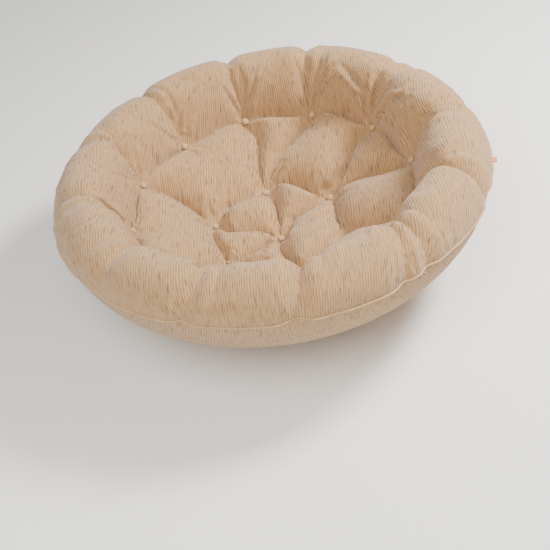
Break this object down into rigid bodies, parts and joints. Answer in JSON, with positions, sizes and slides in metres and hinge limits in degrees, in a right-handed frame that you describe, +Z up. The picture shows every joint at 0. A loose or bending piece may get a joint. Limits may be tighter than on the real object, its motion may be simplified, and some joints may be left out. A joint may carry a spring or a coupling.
{
  "type": "round seat cushion",
  "caption": "Round button-tufted seat cushion for a bowl chair, dished, with a fat roll round its edge and a cover of slub-woven fabric.",
  "frame": {"origin": "centre of the flat patch under the cushion that it rests on", "axes": "+Z up out of the hollow, along the cushion's round axis; +Y towards the first tuft of the inner ring"},
  "size_m": [1.1538, 1.1538, 0.386],
  "materials": {
    "cover_fabric": "matt cream and beige slub weave with fine ribs",
    "fibre": "loose white polyester fibre",
    "tie_cord": "waxed twine",
    "seam_thread": "matt sewing thread",
    "tab_ribbon": "plain salmon ribbon"
  },
  "bodies": {
    "root": {"top_cover": "cover_fabric", "bottom_cover": "cover_fabric", "fibre_fill": "fibre", "edge_seam_thread": "seam_thread", "label_tab": "tab_ribbon", "button_centre": "cover_fabric", "button_inner_1": "cover_fabric", "button_inner_2": "cover_fabric", "button_inner_3": "cover_fabric", "button_inner_4": "cover_fabric", "button_inner_5": "cover_fabric", "button_inner_6": "cover_fabric", "button_outer_01": "cover_fabric", "button_outer_02": "cover_fabric", "button_outer_03": "cover_fabric", "button_outer_04": "cover_fabric", "button_outer_05": "cover_fabric", "button_outer_06": "cover_fabric", "button_outer_07": "cover_fabric", "button_outer_08": "cover_fabric", "button_outer_09": "cover_fabric", "button_outer_10": "cover_fabric", "button_outer_11": "cover_fabric", "button_outer_12": "cover_fabric", "tie_centre": "tie_cord", "tie_inner_1": "tie_cord", "tie_inner_2": "tie_cord", "tie_inner_3": "tie_cord", "tie_inner_4": "tie_cord", "tie_inner_5": "tie_cord", "tie_inner_6": "tie_cord", "tie_outer_01": "tie_cord", "tie_outer_02": "tie_cord", "tie_outer_03": "tie_cord", "tie_outer_04": "tie_cord", "tie_outer_05": "tie_cord", "tie_outer_06": "tie_cord", "tie_outer_07": "tie_cord", "tie_outer_08": "tie_cord", "tie_outer_09": "tie_cord", "tie_outer_10": "tie_cord", "tie_outer_11": "tie_cord", "tie_outer_12": "tie_cord"}
  },
  "joints": []
}
